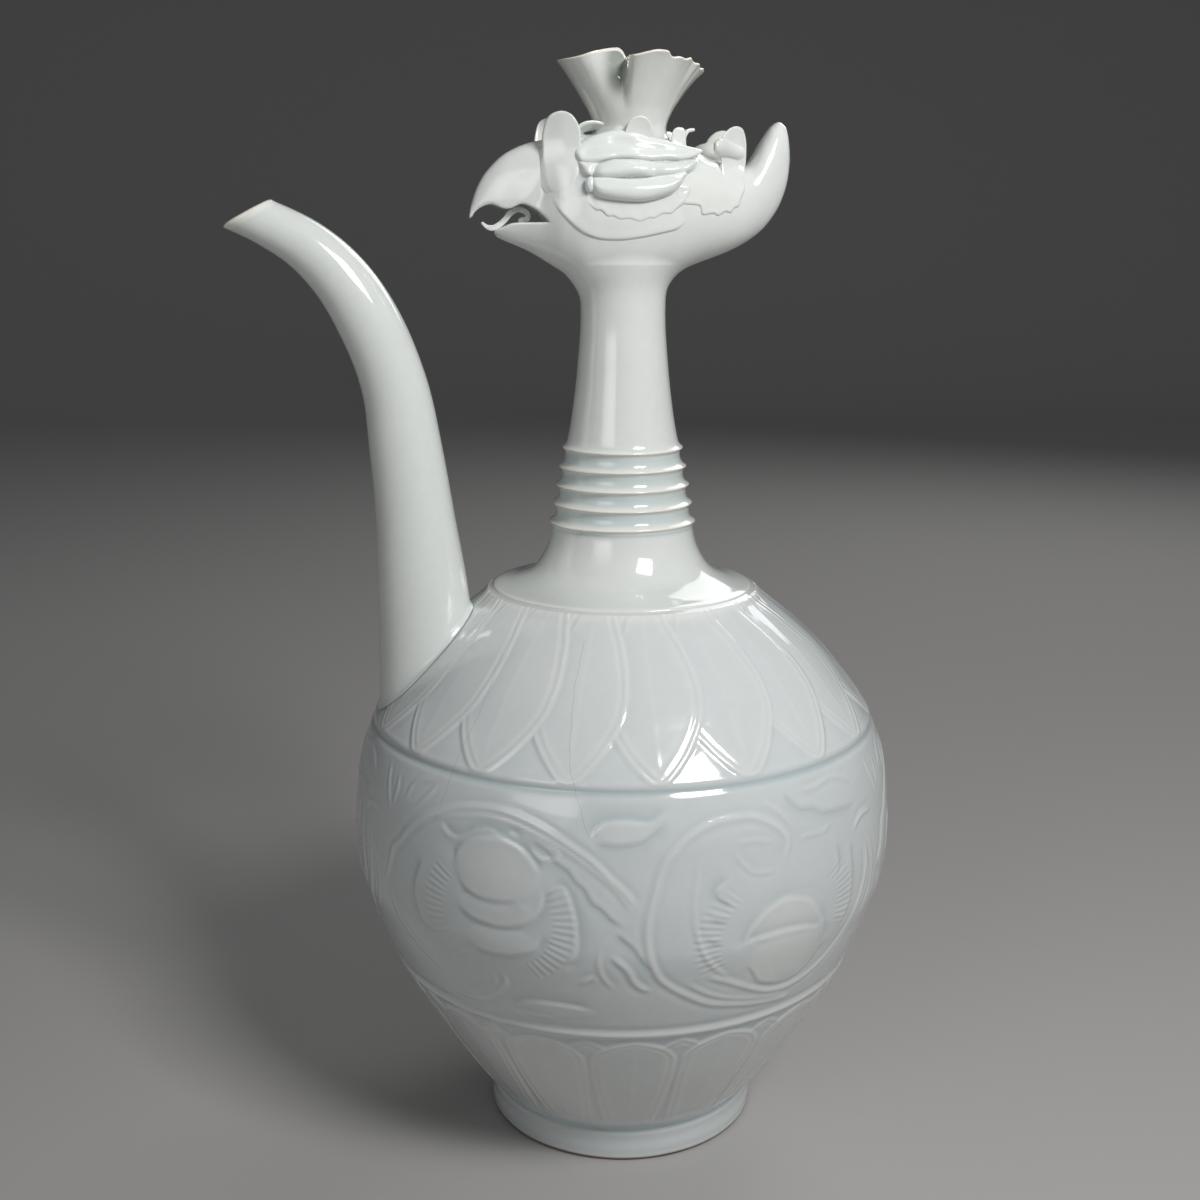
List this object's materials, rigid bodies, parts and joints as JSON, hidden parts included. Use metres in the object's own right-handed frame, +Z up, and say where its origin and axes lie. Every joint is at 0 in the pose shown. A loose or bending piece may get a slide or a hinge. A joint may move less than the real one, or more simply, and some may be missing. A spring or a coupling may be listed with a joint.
{
  "type": "phoenix-head ewer",
  "caption": "Glazed porcelain ewer with a carved round body, ribbed neck, curved spout and a bird's head whose ruffled crown is the filling mouth.",
  "frame": {"origin": "on the surface that the ewer stands on, at the middle of its overall length and width", "axes": "+Z up; -X from the pot's axis towards the spout and the beak; +Y across the ewer, towards the right side of the bird's head"},
  "size_m": [0.238, 0.2006, 0.3918],
  "materials": {
    "glaze": "glossy transparent blue-green glaze over fine white porcelain, deeper where it pools in the carving",
    "thin_glaze": "glossy glaze, thinner and whiter over the applied clay and along thin edges"
  },
  "bodies": {
    "root": {"lower_body": "glaze", "middle_body": "glaze", "upper_body": "glaze", "neck": "glaze", "spout": "glaze", "head_half_left": "glaze", "head_half_right": "glaze", "crown_cup": "thin_glaze", "tongue": "thin_glaze", "ear_feather_upper_left": "thin_glaze", "ear_feather_upper_right": "thin_glaze", "ear_feather_middle_left": "thin_glaze", "ear_feather_middle_right": "thin_glaze", "ear_feather_lower_left": "thin_glaze", "ear_feather_lower_right": "thin_glaze", "ear_bead_left": "thin_glaze", "ear_bead_right": "thin_glaze", "brow_leaf_left": "thin_glaze", "brow_leaf_right": "thin_glaze", "brow_rear_leaf_left": "thin_glaze", "brow_rear_leaf_right": "thin_glaze", "crown_petal_left": "thin_glaze", "crown_petal_right": "thin_glaze", "nape_tab_left": "thin_glaze", "nape_tab_right": "thin_glaze", "nape_curl_left": "thin_glaze", "nape_curl_right": "thin_glaze", "nape_leaf_left": "thin_glaze", "nape_leaf_right": "thin_glaze", "ear_ruff_left": "thin_glaze", "ear_ruff_right": "thin_glaze", "cheek_collar_left": "thin_glaze", "cheek_collar_right": "thin_glaze", "nape_patch_left": "thin_glaze", "nape_patch_right": "thin_glaze"}
  },
  "joints": []
}
